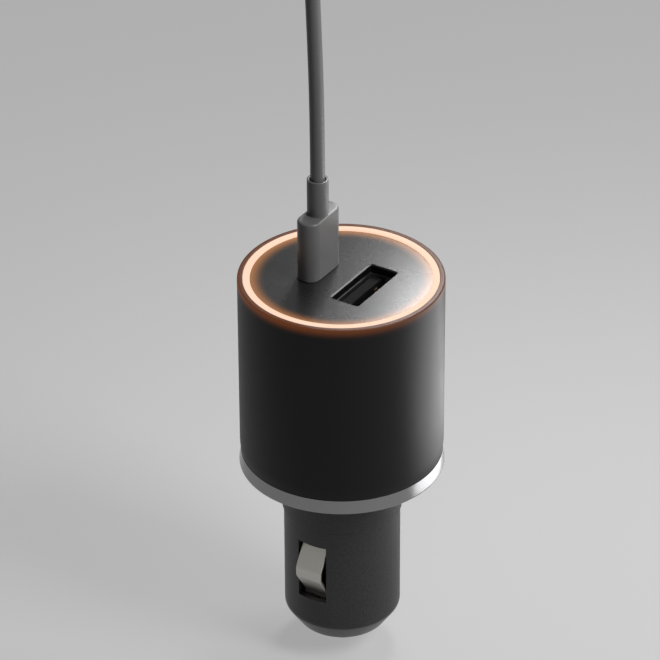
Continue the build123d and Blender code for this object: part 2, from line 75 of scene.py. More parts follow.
class Signal:
    """A shader value that Python's operators work on.

    Args:
        graph: The node tree that the value belongs to.
        socket: The output socket that gives it.
    """

    def __init__(self, graph: "Graph", socket: bpy.types.NodeSocket) -> None:
        """Keeps the tree and the socket."""
        self.graph = graph
        self.socket = socket

    def _math(self, operation: str, first: Any, second: Any) -> "Signal":
        """Result of one Math node on two values."""
        return self.graph.node("ShaderNodeMath", {"operation": operation}, {0: first, 1: second})

    def __add__(self, other: Any) -> "Signal":
        """This value plus another."""
        return self._math("ADD", self, other)

    def __radd__(self, other: Any) -> "Signal":
        """Another value plus this one."""
        return self._math("ADD", other, self)

    def __sub__(self, other: Any) -> "Signal":
        """This value less another."""
        return self._math("SUBTRACT", self, other)

    def __rsub__(self, other: Any) -> "Signal":
        """Another value less this one."""
        return self._math("SUBTRACT", other, self)

    def __mul__(self, other: Any) -> "Signal":
        """This value times another."""
        return self._math("MULTIPLY", self, other)

    def __rmul__(self, other: Any) -> "Signal":
        """Another value times this one."""
        return self._math("MULTIPLY", other, self)

    def __pow__(self, other: Any) -> "Signal":
        """This value to a power."""
        return self._math("POWER", self, other)


class Graph:
    """Node tree of one material or of the world.

    Args:
        tree: The tree, which is emptied.
        output: Type of its output node.
    """

    def __init__(self, tree: bpy.types.NodeTree, output: str = "ShaderNodeOutputMaterial") -> None:
        """Empties the tree and adds its output node."""
        self.tree = tree
        tree.nodes.clear()
        self.output = tree.nodes.new(output)

    def node(self, kind: str, settings: dict | None = None, inputs: dict | None = None,
             output: int | str = 0) -> Signal:
        """Adds a node.

        Args:
            kind: Blender's name for the node type.
            settings: Properties of the node, which are set first.
            inputs: Values or signals by socket name or number.
            output: Which output to return.

        Returns:
            The chosen output as a signal.
        """
        made = self.tree.nodes.new(kind)
        for key, value in (settings or {}).items():
            setattr(made, key, value)
        for key, value in (inputs or {}).items():
            if isinstance(value, Signal):
                self.tree.links.new(value.socket, made.inputs[key])
            else:
                made.inputs[key].default_value = value
        return Signal(self, made.outputs[output])

    def place(self) -> Signal:
        """Object coordinates of the surface, in metres."""
        return self.node("ShaderNodeTexCoord", output="Object")

    def axes(self) -> tuple[Signal, Signal, Signal]:
        """The three object coordinates apart."""
        split = self.node("ShaderNodeSeparateXYZ", inputs={0: self.place()}).socket.node
        return tuple(Signal(self, split.outputs[i]) for i in range(3))

    def radius(self) -> Signal:
        """Distance from the plug's axis."""
        x, y, _ = self.axes()
        return (x * x + y * y) ** 0.5

    def ease(self, value: Signal, start: float, end: float) -> Signal:
        """Smooth step of a value, from 0 at the start to 1 at the end."""
        inputs = {"Value": value, "From Min": start, "From Max": end}
        return self.node("ShaderNodeMapRange", {"interpolation_type": "SMOOTHSTEP"}, inputs)

    def noise(self, size: float, detail: float = 2.0) -> Signal:
        """Noise of about 0 to 1 with features of a size in metres."""
        inputs = {"Vector": self.place(), "Scale": 1 / size, "Detail": detail}
        return self.node("ShaderNodeTexNoise", {}, inputs)

    def mix(self, share: Any, first: Any, second: Any) -> Signal:
        """Colour between two colours or colour signals."""
        inputs = {0: share, 6: first, 7: second}
        return self.node("ShaderNodeMix", {"data_type": "RGBA"}, inputs, output=2)

    def glow(self, share: Signal, first: tuple, second: tuple) -> dict[str, Any]:
        """Socket values of a surface that gives off light between two colours."""
        return {"Emission Color": self.mix(share, first, second), "Emission Strength": 1.0}

    def seen(self) -> Signal:
        """Tells looking rays from those that light the object.

        Returns:
            1 where the camera, a reflection or glass looks, and 0 for light on the object.
        """
        path = self.node("ShaderNodeLightPath").socket.node
        rays = ("Camera", "Glossy", "Transmission")
        camera, gloss, glass = (Signal(self, path.outputs[f"Is {ray} Ray"]) for ray in rays)
        return self.node("ShaderNodeClamp", {}, {0: camera + gloss + glass})

    def bump(self, height: Signal, depth: float) -> Signal:
        """Normal of a surface that a height of 0 to 1 raises by a depth in metres."""
        inputs = {"Height": height, "Strength": 1.0, "Distance": depth}
        return self.node("ShaderNodeBump", {}, inputs)

    def surface(self, shader: Signal) -> None:
        """Joins a shader to the tree's output."""
        self.tree.links.new(shader.socket, self.output.inputs["Surface"])


def rgba(colour: Colour) -> tuple[float, float, float, float]:
    """An opaque colour."""
    return (*colour, 1.0)


BLACK = rgba((0.0, 0.0, 0.0))


@dataclass(frozen=True)
class Finish:
    """A finish with a fine grain.

    Attributes:
        slot: The record's material slot.
        base: Linear base colour.
        roughness: Mean roughness.
        metallic: 1 for bare metal.
        specular: Specular level, 0.5 for a plain plastic.
        grain: Size of the grain in metres, 0 for none.
        depth: Height of the grain in metres.
        wear: How far roughness wanders either side of its mean.
        mottle: Share by which the grain darkens the base colour at most.
        pits: Heights of the grain between which it darkens.
    """

    slot: str
    base: Colour
    roughness: float
    metallic: float = 0.0
    specular: float = 0.5
    grain: float = 0.0
    depth: float = 0.0
    wear: float = 0.0
    mottle: float = 0.0
    pits: tuple[float, float] = (0.3, 0.7)

    def worn(self, noise: Signal) -> Signal:
        """Roughness that wanders with a noise of 0 to 1."""
        return self.roughness + (noise - 0.5) * (2 * self.wear)

    def inputs(self, graph: Graph) -> dict[str, Any]:
        """Socket values of the shader.

        Args:
            graph: The material's tree.

        Returns:
            Values and signals by socket name.
        """
        values = {
            "Base Color": rgba(self.base),
            "Roughness": self.roughness,
            "Metallic": self.metallic,
            "Specular IOR Level": self.specular,
        }
        if self.wear:
            values["Roughness"] = self.worn(graph.noise(WEAR_SIZE))
        if self.grain:
            height = graph.noise(self.grain)
            values["Normal"] = graph.bump(height, self.depth)
            if self.mottle:
                pit = tuple(part * (1 - self.mottle) for part in self.base)
                share = graph.ease(height, *self.pits)
                values["Base Color"] = graph.mix(share, rgba(pit), rgba(self.base))
        return values

    def title(self) -> str:
        """Name of the material."""
        return f"{self.slot}_finish"

    def material(self) -> bpy.types.Material:
        """The finish as a material, made once.

        Returns:
            The material.
        """
        found = bpy.data.materials.get(self.title())
        if found:
            return found
        made = bpy.data.materials.new(self.title())
        made.use_nodes = True
        graph = Graph(made.node_tree)
        graph.surface(graph.node("ShaderNodeBsdfPrincipled", {}, self.inputs(graph)))
        return made


@dataclass(frozen=True)
class SleeveWithPaintedGlow(Finish):
    """Satin black with a painted glow along its rim: emission on the sleeve that stands in for the light
    ring's spill.

    Attributes:
        rim: Height of the rim.
        reach: How far down the glow goes.
        glow: Colour of the painted glow at the rim.
        falloff: Power by which the glow gets weaker.
    """

    rim: float = HEAD_TOP
    reach: float = 2.4 * MM
    glow: Colour = (0.106, 0.027, 0.004)
    falloff: float = 2.0

    def inputs(self, graph: Graph) -> dict[str, Any]:
        """Adds the painted glow, which eases out from the rim downwards.

        Args:
            graph: The material's tree.

        Returns:
            Values and signals by socket name.
        """
        values = super().inputs(graph)
        # Painted glow: emission that fades down from the rim, standing in for the light ring's spill on
        # the sleeve.
        height = graph.axes()[2]
        share = graph.ease(height, self.rim - self.reach, self.rim) ** self.falloff
        return values | graph.glow(share, BLACK, rgba(self.glow))


@dataclass(frozen=True)
class FaceWithPaintedGlowAndShade(Finish):
    """Dark grey face with a painted glow along its edge, emission that stands in for the light ring's
    spill, and painted shade on the walls of its openings.

    Attributes:
        edge: Radius of the face.
        reach: How far inwards the glow goes.
        glow: Colour of the painted glow at the edge.
        falloff: Power by which the glow gets weaker.
        wall_shade: Near-black colour painted on the walls of its openings, as painted shade in these
            recesses.
        mouth: Height below which the painted shade on those walls begins.
        lip: Height over which the face's colour turns into the painted shade.
    """

    edge: float = 15.35 * MM
    reach: float = 2.8 * MM
    glow: Colour = (0.32, 0.12, 0.028)
    falloff: float = 1.7
    wall_shade: Colour = (0.002, 0.002, 0.002)
    mouth: float = 35.87 * MM
    lip: float = 0.02 * MM

    def inputs(self, graph: Graph) -> dict[str, Any]:
        """Adds the painted glow, which eases out from the edge inwards, and the painted shade that
        blackens the walls of its openings.

        Args:
            graph: The material's tree.

        Returns:
            Values and signals by socket name.
        """
        values = super().inputs(graph)
        # Painted shade: below the mouth, the walls of the openings are coloured near black, standing in
        # for the shadow in these recesses.
        top = graph.ease(graph.axes()[2], self.mouth - self.lip, self.mouth)
        values["Base Color"] = graph.mix(top, rgba(self.wall_shade), rgba(self.base))
        # Painted glow: emission that fades in towards the edge, standing in for the light ring's spill on
        # the face.
        share = graph.ease(graph.radius(), self.edge - self.reach, self.edge) ** self.falloff
        return values | graph.glow(share, BLACK, rgba(self.glow))


@dataclass(frozen=True)
class LitRing(Finish):
    """Frosted ring, a little uneven where the lamps stand under it.

    Attributes:
        lit: Colour over the lamps.
        between: Colour between them.
        patch: Size of the changes round it.
    """

    lit: Colour = (0.98, 0.7, 0.53)
    between: Colour = (0.98, 0.66, 0.48)
    patch: float = 7 * MM

    def inputs(self, graph: Graph) -> dict[str, Any]:
        """Lights the ring, with soft changes round it.

        Args:
            graph: The material's tree.

        Returns:
            Values and signals by socket name.
        """
        share = graph.noise(self.patch, detail=0.0)
        return super().inputs(graph) | graph.glow(share, rgba(self.lit), rgba(self.between))


@dataclass(frozen=True)
class LinedMetal(Finish):
    """Metal with the fine lines that turning or rolling leaves.

    Attributes:
        pitch: Spacing of the lines.
        rolled: Whether the lines run along a strip that lies across X, and not round the axis.
    """

    pitch: float = 0.09 * MM
    rolled: bool = False

    def title(self) -> str:
        """Name of the material, with the way its lines run."""
        return f"{self.slot}_{'rolled' if self.rolled else 'turned'}"

    def inputs(self, graph: Graph) -> dict[str, Any]:
        """Adds lines of uneven height and gloss.

        Args:
            graph: The material's tree.

        Returns:
            Values and signals by socket name.
        """
        values = super().inputs(graph)
        x, _, z = graph.axes()
        across = x if self.rolled else z + graph.radius()
        spacing = {"W": across, "Scale": 1 / self.pitch, "Detail": 1.0}
        lines = graph.node("ShaderNodeTexNoise", {"noise_dimensions": "1D"}, spacing)
        values["Roughness"] = self.worn(lines)
        values["Normal"] = graph.bump(lines, self.depth)
        return values


@dataclass(frozen=True)
class CoatedBoard(Finish):
    """Circuit board with its copper showing faintly through the coating.

    Attributes:
        copper: Colour over the copper.
        pitch: Spacing of the tracks.
        track: Distances from a cell's middle between which its track begins.
    """

    copper: Colour = (0.05, 0.22, 0.1)
    pitch: float = 1.6 * MM
    track: tuple[float, float] = (0.36, 0.4)

    def inputs(self, graph: Graph) -> dict[str, Any]:
        """Adds tracks as bands of cells.

        Args:
            graph: The material's tree.

        Returns:
            Values and signals by socket name.
        """
        values = super().inputs(graph)
        spacing = {"Vector": graph.place(), "Scale": 1 / self.pitch}
        cells = graph.node("ShaderNodeTexVoronoi", {"distance": "CHEBYCHEV"}, spacing)
        share = graph.ease(cells, *self.track)
        values["Base Color"] = graph.mix(share, rgba(self.base), rgba(self.copper))
        return values


# Black sleeve with a painted glow from the light ring along its rim.
SLEEVE_BLACK_PAINTED_GLOW = SleeveWithPaintedGlow("sleeve_black", (0.004, 0.004, 0.0044), 0.45, specular=0.2,
                             grain=0.12 * MM, depth=0.0006 * MM, wear=0.02)
# Dark grey face with a painted glow along its edge and painted shade on the walls of its openings.
FACE_GREY_PAINTED_GLOW_AND_SHADE = FaceWithPaintedGlowAndShade("face_grey", (0.012, 0.012, 0.0125), 0.27, specular=0.4,
                        grain=0.1 * MM, depth=0.0003 * MM, wear=0.02)
RING_LIGHT = LitRing("ring_light", (0.03, 0.025, 0.02), 0.6, specular=0.1)
COLLAR_METAL = LinedMetal("collar_metal", (0.25, 0.25, 0.254), 0.24, metallic=1.0,
                          depth=0.0002 * MM)
BARREL_BLACK = Finish("barrel_black", (0.026, 0.026, 0.027), 0.46, specular=0.45,
                      grain=0.28 * MM, depth=0.03 * MM, mottle=0.6)
NOSE_BLACK = Finish("nose_black", (0.018, 0.018, 0.019), 0.32, specular=0.45, wear=0.04)
CONTACT_NICKEL = LinedMetal("contact_nickel", (0.5, 0.48, 0.44), 0.42, metallic=1.0, wear=0.06,
                            depth=0.0004 * MM, pitch=0.12 * MM)
ARM_NICKEL = replace(CONTACT_NICKEL, rolled=True)
SPRING_STEEL = Finish("spring_steel", (0.55, 0.55, 0.55), 0.28, metallic=1.0)
PORT_STEEL = Finish("port_steel", (0.3, 0.3, 0.31), 0.35, metallic=1.0, wear=0.05)
PORT_BLACK = Finish("port_black", (0.005, 0.005, 0.005), 0.75, specular=0.06)
CONTACT_GOLD = Finish("contact_gold", (0.83, 0.6, 0.26), 0.25, metallic=1.0)
BOARD_GREEN = CoatedBoard("board_green", (0.015, 0.1, 0.045), 0.35)
PART_BLACK = Finish("part_black", (0.03, 0.03, 0.032), 0.6, grain=0.12 * MM, depth=0.004 * MM)
CAN_METAL = Finish("can_metal", (0.7, 0.7, 0.71), 0.3, metallic=1.0)
FRAME_PLASTIC = Finish("frame_plastic", (0.05, 0.05, 0.052), 0.55)
LED_WHITE = Finish("led_white", (0.9, 0.82, 0.6), 0.3)
LEAD_GREY = Finish("lead_grey", (0.1, 0.1, 0.101), 0.4, specular=0.35,
                   grain=0.09 * MM, depth=0.0015 * MM, wear=0.03)
PLUG_STEEL = Finish("plug_steel", (0.32, 0.32, 0.33), 0.48, metallic=1.0, wear=0.04)


def eased(corners: Sequence[Sequence[float]], cuts: Sequence[float], steps: int = 6) -> np.ndarray:
    """Profile with its corners eased.

    A corner C with a cut c becomes the curve (1-t)^2 A + 2t(1-t) C + t^2 B, where A and B lie at c from
    C towards the corners before and after it, and t runs from 0 to 1. A corner with no cut stays a point.

    Args:
        corners: Corners in order, as pairs.
        cuts: Cut at each corner.
        steps: Points on each curve.

    Returns:
        Points of the profile, as rows of two.
    """
    corner = np.asarray(corners, float)
    cut = np.asarray(cuts, float)
    before = np.roll(corner, 1, axis=0) - corner
    after = np.roll(corner, -1, axis=0) - corner
    start = corner + before / np.linalg.norm(before, axis=1, keepdims=True) * cut[:, None]
    end = corner + after / np.linalg.norm(after, axis=1, keepdims=True) * cut[:, None]
    t = np.linspace(0.0, 1.0, steps)[None, :, None]
    pull = 2 * t * (1 - t) * corner[:, None]
    curve = (1 - t) ** 2 * start[:, None] + pull + t ** 2 * end[:, None]
    kept = (cut[:, None] > 0) | (np.arange(steps) == 0)[None]
    return curve[kept]


def grid_piece(name: str, points: np.ndarray, wrap: bool) -> bpy.types.Object:
    """Object over a grid of points that is closed round its columns.

    Face (i, j) joins points (i, j), (i, j+1), (i+1, j+1) and (i+1, j). The columns j wrap round, and so
    do the rows i where the profile is a closed loop. Points that meet at a pole are merged.

    Args:
        name: Name of the piece.
        points: Array of rows, columns and coordinates, in metres.
        wrap: Whether the last row joins the first.

    Returns:
        The object, at the origin.
    """
    rows, columns = points.shape[:2]
    index = np.arange(rows * columns).reshape(rows, columns)
    if wrap:
        index = np.vstack([index, index[:1]])
    index = np.hstack([index, index[:, :1]])
    quads = np.stack([index[:-1, :-1], index[:-1, 1:], index[1:, 1:], index[1:, :-1]], axis=-1)
    mesh = bpy.data.meshes.new(name)
    mesh.from_pydata(points.reshape(-1, 3), [], quads.reshape(-1, 4))
    merged = bmesh.new()
    merged.from_mesh(mesh)
    bmesh.ops.remove_doubles(merged, verts=merged.verts, dist=MERGE_GAP)
    bmesh.ops.recalc_face_normals(merged, faces=merged.faces)
    merged.to_mesh(mesh)
    merged.free()
    mesh.shade_smooth()
    mesh.set_sharp_from_angle(angle=SHARP_EDGE)
    piece = bpy.data.objects.new(name, mesh)
    bpy.context.scene.collection.objects.link(piece)
    return piece


def capped_tube(name: str, tube: np.ndarray, first: np.ndarray, last: np.ndarray) -> bpy.types.Object:
    """Piece over a tube whose ends close to points.

    Args:
        name: Name of the piece.
        tube: Array of sections along the tube, points round each and coordinates, in metres.
        first: Point that the first section closes to.
        last: Point that the last section closes to.

    Returns:
        The object, at the origin.
    """
    ends = [np.broadcast_to(point, tube[:1].shape) for point in (first, last)]
    return grid_piece(name, np.concatenate([ends[0], tube, ends[1]]), wrap=False)


def turned_piece(name: str, profile: np.ndarray, wrap: bool, straight: float = 0.0,
                 place: Matrix | None = None, columns: int = 192) -> bpy.types.Object:
    """Piece turned about Z, or a full-round bar that is long along Y.

    Profile point (r, z) and angle a give (r cos a, r sin a + s, z), where s is half of the straight
    length with the sign of sin a, and 0 for a round piece.

    Args:
        name: Name of the piece.
        profile: Rows of radius and height.
        wrap: Whether the profile is a closed loop.
        straight: Straight length between the bar's round ends.
        place: Where the piece goes.
        columns: Points round the axis.

    Returns:
        The object.
    """
    angle = (np.arange(columns) + 0.5) * 2 * np.pi / columns
    radius, height = profile[:, :1], profile[:, 1:]
    x = radius * np.cos(angle)
    y = radius * np.sin(angle) + np.sign(np.sin(angle)) * straight / 2
    z = np.broadcast_to(height, x.shape)
    points = np.stack([x, y, z], axis=-1)
    if place is not None:
        move = np.asarray(place)
        points = points @ move[:3, :3].T + move[:3, 3]
    return grid_piece(name, points, wrap)


def settle(piece: bpy.types.Object, finish: Finish, body: Body, *nodes: str) -> bpy.types.Object:
    """Gives a new piece its finish and body, in place of the nodes that it stands for.

    Args:
        piece: The new piece.
        finish: Its finish.
        body: The body that it rides on.
        nodes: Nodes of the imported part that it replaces.

    Returns:
        The same piece.
    """
    piece.data.materials.append(finish.material())
    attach(piece, body.value)
    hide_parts(*nodes)
    LOG.info("%s stands for %s", piece.name, ", ".join(nodes))
    return piece


def dress(finishes: dict[str, Finish]) -> None:
    """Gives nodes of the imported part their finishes.

    Args:
        finishes: Finish by node name.
    """
    for name, finish in finishes.items():
        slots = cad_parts[name].data.materials
        slots.clear()
        slots.append(finish.material())
        LOG.info("%s has finish %s", name, finish.slot)


@dataclass
class Head:
    """Sleeve, collar, light ring, face and the parts inside the head.

    Attributes:
        radius: Outer radius of the sleeve.
        bore: Inner radius of the sleeve.
        foot: Height of the sleeve's foot, where the collar ends.
        rim: Height of the rim.
        foot_in: How far the rounded foot draws in.
        foot_rise: Height of the rounded foot.
        foot_points: Points on the rounded foot.
        ledge: Height of the ledge that the light ring sits on.
        ring_seat: Radius of the ring's seat in the sleeve.
        ring_out: Outer radius of the ring.
        ring_in: Inner radius of the ring.
        guide: Inner radius, outer radius and foot of the light guide below the ring.
        collar: Radius of the collar at its foot and at its top.
        spigot: Inner radius, outer radius and top of the collar's spigot.
        rim_cut: Cut at the rim's outer edge.
        seat_cut: Cut at the rim's inner edge.
        collar_cut: Cut at the collar's outer edge.
        spigot_cut: Cut at the collar's other edges.
        ring_cut: Cut at the ring's upper edges.
        inner: Finish of each node that stays as it is.
    """

    radius: float = 17.5 * MM
    bore: float = 16.3 * MM
    foot: float = 2.5 * MM
    rim: float = HEAD_TOP
    foot_in: float = 0.22 * MM
    foot_rise: float = 2.4 * MM
    foot_points: int = 9
    ledge: float = 35.0 * MM
    ring_seat: float = 16.6 * MM
    ring_out: float = 16.55 * MM
    ring_in: float = 15.4 * MM
    guide: tuple[float, float, float] = (15.55 * MM, 16.1 * MM, 33.6 * MM)
    collar: tuple[float, float] = (17.7 * MM, 17.35 * MM)
    spigot: tuple[float, float, float] = (15.65 * MM, 16.25 * MM, 4.5 * MM)
    rim_cut: float = 0.3 * MM
    seat_cut: float = 0.08 * MM
    collar_cut: float = 0.35 * MM
    spigot_cut: float = 0.1 * MM
    ring_cut: float = 0.12 * MM
    inner: dict[str, Finish] = field(default_factory=lambda: {
        "face_plate": FACE_GREY_PAINTED_GLOW_AND_SHADE,
        "led_board": BOARD_GREEN,
        "leds": LED_WHITE,
        "inner_frame": FRAME_PLASTIC,
    })

    def sleeve(self) -> bpy.types.Object:
        """Tube with an eased rim.

        Its foot is an arc of radius (h^2 + d^2) / 2d, for rise h and inset d.

        Returns:
            The object.
        """
        curve = (self.foot_rise ** 2 + self.foot_in ** 2) / (2 * self.foot_in)
        turn = np.linspace(-math.asin(self.foot_rise / curve), 0.0, self.foot_points)
        wall_foot = np.stack([self.radius - curve + curve * np.cos(turn),
                              self.foot + self.foot_rise + curve * np.sin(turn)], axis=-1)
        corners = [*wall_foot, (self.radius, self.rim), (self.ring_seat, self.rim),
                   (self.ring_seat, self.ledge), (self.bore, self.ledge), (self.bore, self.foot)]
        cuts = [0.0] * len(wall_foot) + [self.rim_cut, self.seat_cut, 0.0, 0.0, 0.0]
        return turned_piece("sleeve_shell", eased(corners, cuts), wrap=True)

    def foot_ring(self) -> bpy.types.Object:
        """Flared collar with eased edges, and the spigot inside the sleeve.

        Returns:
            The object.
        """
        inside, outside, top = self.spigot
        wide, narrow = self.collar
        corners = [(inside, 0.0), (wide, 0.0), (narrow, self.foot), (outside, self.foot),
                   (outside, top), (inside, top)]
        cuts = [self.spigot_cut, self.collar_cut, 0.0, 0.0, self.spigot_cut, self.spigot_cut]
        return turned_piece("collar_ring", eased(corners, cuts), wrap=True)

    def lit_ring(self) -> bpy.types.Object:
        """Ring with eased upper edges, and the light guide below it.

        Returns:
            The object.
        """
        guide_in, guide_out, guide_foot = self.guide
        corners = [(self.ring_in, self.ledge), (guide_in, self.ledge), (guide_in, guide_foot),
                   (guide_out, guide_foot), (guide_out, self.ledge), (self.ring_out, self.ledge),
                   (self.ring_out, self.rim), (self.ring_in, self.rim)]
        cuts = [0.0] * 6 + [self.ring_cut] * 2
        return turned_piece("lit_ring", eased(corners, cuts), wrap=True)

    def build(self) -> None:
        """Builds and dresses the head."""
        settle(self.sleeve(), SLEEVE_BLACK_PAINTED_GLOW, Body.CHARGER, "head_sleeve")
        settle(self.foot_ring(), COLLAR_METAL, Body.CHARGER, "base_collar")
        settle(self.lit_ring(), RING_LIGHT, Body.CHARGER, "light_ring")
        dress(self.inner)


@dataclass
class Ports:
    """The two sockets.

    Attributes:
        pieces: Finish of each node.
    """

    pieces: dict[str, Finish] = field(default_factory=lambda: {
        "usb_a_shell": PORT_STEEL,
        "usb_a_tongue": PORT_BLACK,
        "usb_a_contacts": CONTACT_GOLD,
        "usb_c_shell": PORT_STEEL,
        "usb_c_tongue": PORT_BLACK,
        "usb_c_contacts": CONTACT_GOLD,
    })

    def build(self) -> None:
        """Dresses the sockets."""
        dress(self.pieces)


@dataclass
class Converter:
    """Boards and components of the converter.

    Attributes:
        pieces: Finish of each node.
    """

    pieces: dict[str, Finish] = field(default_factory=lambda: {
        "port_board": BOARD_GREEN,
        "main_board": BOARD_GREEN,
        "power_inductor": PART_BLACK,
        "input_capacitor": CAN_METAL,
        "output_capacitor": CAN_METAL,
        "controller_chip": PART_BLACK,
        "port_chip": PART_BLACK,
        "chip_capacitors": PART_BLACK,
    })

    def build(self) -> None:
        """Dresses the boards and components."""
        dress(self.pieces)


@dataclass
class Stem:
    """Barrel, nose, sprung centre contact and side contacts.

    Attributes:
        barrel: Radius of the barrel's foot.
        barrel_foot: Height of the barrel's foot, where the nose begins.
        land: Height of the nose's straight edge below it.
        tip_radius: Radius of the nose's tip.
        nose_tip: Height of the nose's tip.
        spigot: Inner radius, outer radius and top of the nose's spigot.
        guide: Radius of the guide that the flange slides in.
        lip: Height of the lip that stops the flange.
        hole_cut: Cut at the edge of the nose's hole.
        tip_cut: Cut at the edge of the nose's tip.
        land_cut: Cut at the lower end of the land.
        seam_cut: Cut at the seam with the barrel.
        pin: Radius of the centre contact.
        pin_hole: Radius of its hole in the nose.
        pin_tip: Height of its tip.
        flange: Radius, foot and top of its flange.
        peg: Radius and top of its peg, which goes into the spring.
        dome_cut: Cut at its tip.
        flange_cut: Cut at the flange's edges.
        peg_cut: Cut at the peg's top.
        pin_steps: Points on each of its cuts.
        pin_columns: Points round it.
        coil: Radius of the coil, to the middle of its wire.
        wire: Radius of the wire.
        coil_foot: Height of the wire's middle at the coil's foot.
        coil_top: Height of the wire's middle at the coil's top.
        terminal: Height of the terminal that the spring pushes against. Not used.
        turns: Turns of the coil.
        turn_points: Points along each turn.
        wire_points: Points round the wire.
        press: How far the centre contact slides in. Not used.
        strip: Width and thickness of the strip of an earth arm.
        strip_cut: Cut at the strip's edges.
        arm_path: Corners of the strip's middle, as radius and height.
        arm_bend: Cut at its bends.
        bend_steps: Points on each bend.
        pieces: Finish of each node that stays as it is.
    """

    barrel: float = 10.1 * MM
    barrel_foot: float = -28.5 * MM
    land: float = 0.8 * MM
    tip_radius: float = 7.5 * MM
    nose_tip: float = -33.1 * MM
    spigot: tuple[float, float, float] = (7.65 * MM, 9.05 * MM, -26.0 * MM)
    guide: float = 4.7 * MM
    lip: float = -31.6 * MM
    hole_cut: float = 0.15 * MM
    tip_cut: float = 0.8 * MM
    land_cut: float = 0.35 * MM
    seam_cut: float = 0.06 * MM
    pin: float = 3.0 * MM
    pin_hole: float = 3.06 * MM
    pin_tip: float = -37.0 * MM
    flange: tuple[float, float, float] = (4.4 * MM, -31.55 * MM, -30.55 * MM)
    peg: tuple[float, float] = (2.1 * MM, -28.95 * MM)
    dome_cut: float = 1.8 * MM
    flange_cut: float = 0.1 * MM
    peg_cut: float = 0.3 * MM
    pin_steps: int = 10
    pin_columns: int = 96
    coil: float = 2.75 * MM
    wire: float = 0.3 * MM
    coil_foot: float = -30.2 * MM
    coil_top: float = -21.4 * MM
    terminal: float = -21.05 * MM
    turns: int = 5
    turn_points: int = 48
    wire_points: int = 12
    press: float = 3.0 * MM
    strip: tuple[float, float] = (5.0 * MM, 0.5 * MM)
    strip_cut: float = 0.15 * MM
    arm_path: tuple[tuple[float, float], ...] = (
        (8.2 * MM, -11.6 * MM),
        (8.2 * MM, -13.0 * MM),
        (10.85 * MM, -17.4 * MM),
        (10.85 * MM, -19.0 * MM),
        (8.0 * MM, -23.4 * MM),
        (8.0 * MM, -24.9 * MM),
    )
    arm_bend: float = 0.345 * MM
    bend_steps: int = 8
    pieces: dict[str, Finish] = field(default_factory=lambda: {
        "barrel": BARREL_BLACK,
        "spring_terminal": CONTACT_NICKEL,
        "ground_strap": CONTACT_NICKEL,
    })

    def nose(self) -> bpy.types.Object:
        """Nose cap with eased outer edges.

        Returns:
            The object.
        """
        hollow, spigot, top = self.spigot
        corners = [(self.pin_hole, self.nose_tip), (self.tip_radius, self.nose_tip),
                   (self.barrel, self.barrel_foot - self.land), (self.barrel, self.barrel_foot),
                   (spigot, self.barrel_foot), (spigot, top), (hollow, top),
                   (hollow, self.barrel_foot), (self.guide, self.barrel_foot),
                   (self.guide, self.lip), (self.pin_hole, self.lip)]
        cuts = [self.hole_cut, self.tip_cut, self.land_cut, self.seam_cut] + [0.0] * 7
        return turned_piece("nose_shell", eased(corners, cuts), wrap=True)

    def centre_pin(self) -> bpy.types.Object:
        """Pin with a domed tip, a stop flange and a peg for the spring.

        Returns:
            The object.
        """
        flange, flange_foot, flange_top = self.flange
        peg, peg_top = self.peg
        corners = [(0.0, self.pin_tip), (self.pin, self.pin_tip), (self.pin, flange_foot),
                   (flange, flange_foot), (flange, flange_top), (peg, flange_top),
                   (peg, peg_top), (0.0, peg_top)]
        cuts = [0.0, self.dome_cut, 0.0, self.flange_cut, self.flange_cut, 0.0, self.peg_cut, 0.0]
        profile = eased(corners, cuts, self.pin_steps)
        return turned_piece("contact_pin", profile, wrap=False, columns=self.pin_columns)

    def spring(self) -> bpy.types.Object:
        """Round wire along a helix.

        Centre (R cos a, R sin a, z) climbs evenly with the angle a. The wire's circle lies across it,
        on the radial direction and the direction square to that and to the wire.

        Returns:
            The object.
        """
        full = 2 * np.pi * self.turns
        angle = np.linspace(0.0, full, self.turn_points * self.turns + 1)[:, None]
        zero = np.zeros_like(angle)
        climb = (self.coil_top - self.coil_foot) / full
        radial = np.hstack([np.cos(angle), np.sin(angle), zero])
        tangent = np.hstack([-np.sin(angle), np.cos(angle), zero])
        rise = np.hstack([zero, zero, zero + climb])
        centre = self.coil * radial + rise * angle + (0.0, 0.0, self.coil_foot)
        along = self.coil * tangent + rise
        across = np.cross(along / np.linalg.norm(along, axis=1, keepdims=True), radial)
        turn = (np.arange(self.wire_points) * 2 * np.pi / self.wire_points)[:, None]
        circle = radial[:, None] * np.cos(turn) + across[:, None] * np.sin(turn)
        tube = centre[:, None] + self.wire * circle
        return capped_tube("spring_coil", tube, centre[0], centre[-1])

    def arm(self, name: str, side: int) -> bpy.types.Object:
        """Earth arm: a bent strip with rounded edges.

        Point P of the path with normal N, both in the plane of radius and height, and point (u, v) of
        the strip's section give x = u and (radius, height) = P + v N.

        Args:
            name: Name of the piece.
            side: Sign of the side of the stem that it stands on, along Y.

        Returns:
            The object.
        """
        bends = [self.arm_bend] * (len(self.arm_path) - 2)
        path = eased(self.arm_path, [0.0, *bends, 0.0], self.bend_steps)
        along = np.gradient(path, axis=0)
        along /= np.linalg.norm(along, axis=1, keepdims=True)
        normal = np.stack([-along[:, 1], along[:, 0]], axis=-1)
        wide, thick = self.strip[0] / 2, self.strip[1] / 2
        corners = [(-wide, -thick), (wide, -thick), (wide, thick), (-wide, thick)]
        section = eased(corners, [self.strip_cut] * 4)
        lifted = path[:, None] + section[None, :, 1:] * normal[:, None]
        across = np.broadcast_to(section[None, :, :1], (*lifted.shape[:2], 1))
        tube = np.concatenate([across, side * lifted[..., :1], lifted[..., 1:]], axis=-1)
        ends = [np.array((0.0, side * path[i, 0], path[i, 1])) for i in (0, -1)]
        return capped_tube(name, tube, *ends)

